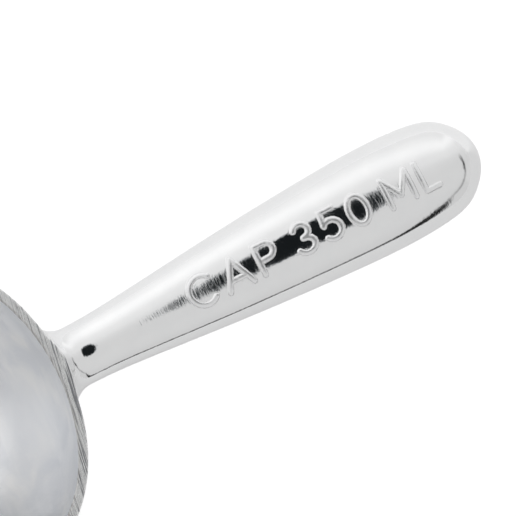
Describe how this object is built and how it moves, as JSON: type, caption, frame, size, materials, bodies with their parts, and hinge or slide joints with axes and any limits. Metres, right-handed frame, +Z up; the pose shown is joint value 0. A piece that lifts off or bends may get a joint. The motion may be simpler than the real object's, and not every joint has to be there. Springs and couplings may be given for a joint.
{
  "type": "hand scoop",
  "caption": "One-piece cast aluminium hand scoop: open round-bottomed bowl with a sloping mouth, flat ground rim and a solid raised handle swelling to a rounded end.",
  "frame": {"origin": "on the ground rim face, at the back of the bowl's rim where the handle's neck meets it", "axes": "+X along the handle to its tip, the bowl toward -X; +Z up, out of the bowl, normal to the ground rim face; +Y to the left when looking from the bowl along the handle"},
  "size_m": [0.2658, 0.0826, 0.0605],
  "materials": {
    "casting": "cast aluminium: polished handle and outside, belt-ground rim face, satin bowl interior"
  },
  "bodies": {
    "root": {"scoop_casting": "casting"}
  },
  "joints": []
}
